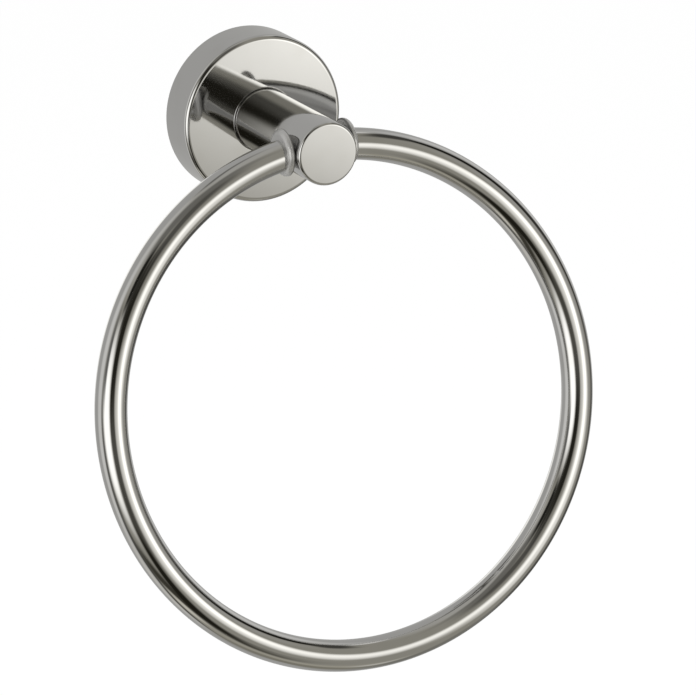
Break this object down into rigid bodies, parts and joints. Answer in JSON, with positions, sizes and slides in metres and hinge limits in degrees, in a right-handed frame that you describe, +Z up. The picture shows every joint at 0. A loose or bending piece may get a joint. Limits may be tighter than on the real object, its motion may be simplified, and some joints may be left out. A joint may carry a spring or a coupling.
{
  "type": "towel ring",
  "caption": "Polished metal towel ring: a round wall flange and post carry a tube ring that swings on collared pivots to hold a hand towel.",
  "frame": {"origin": "centre of the flange's back, on the wall", "axes": "+X along the wall to the viewer's right, +Y into the wall, +Z up; the post stands out towards -Y"},
  "size_m": [0.1694, 0.0899, 0.1879],
  "materials": {
    "polished_steel": "mirror polished",
    "plate_steel": "plain pressed sheet",
    "screw_steel": "plain turned"
  },
  "bodies": {
    "wall_mount": {"flange": "polished_steel", "wall_plate": "plate_steel", "grub_screw": "screw_steel", "ring_hub": "polished_steel", "tie_screw": "screw_steel", "spring_washer": "screw_steel"},
    "swing_ring": {"ring": "polished_steel", "left_collar": "polished_steel", "right_collar": "polished_steel"}
  },
  "joints": [
    {"name": "ring_swing", "type": "hinge", "parent": "wall_mount", "child": "swing_ring", "pos_m": [0, -0.0518, 0], "axis": [-1, 0, 0], "range_deg": [-29, 150]}
  ]
}
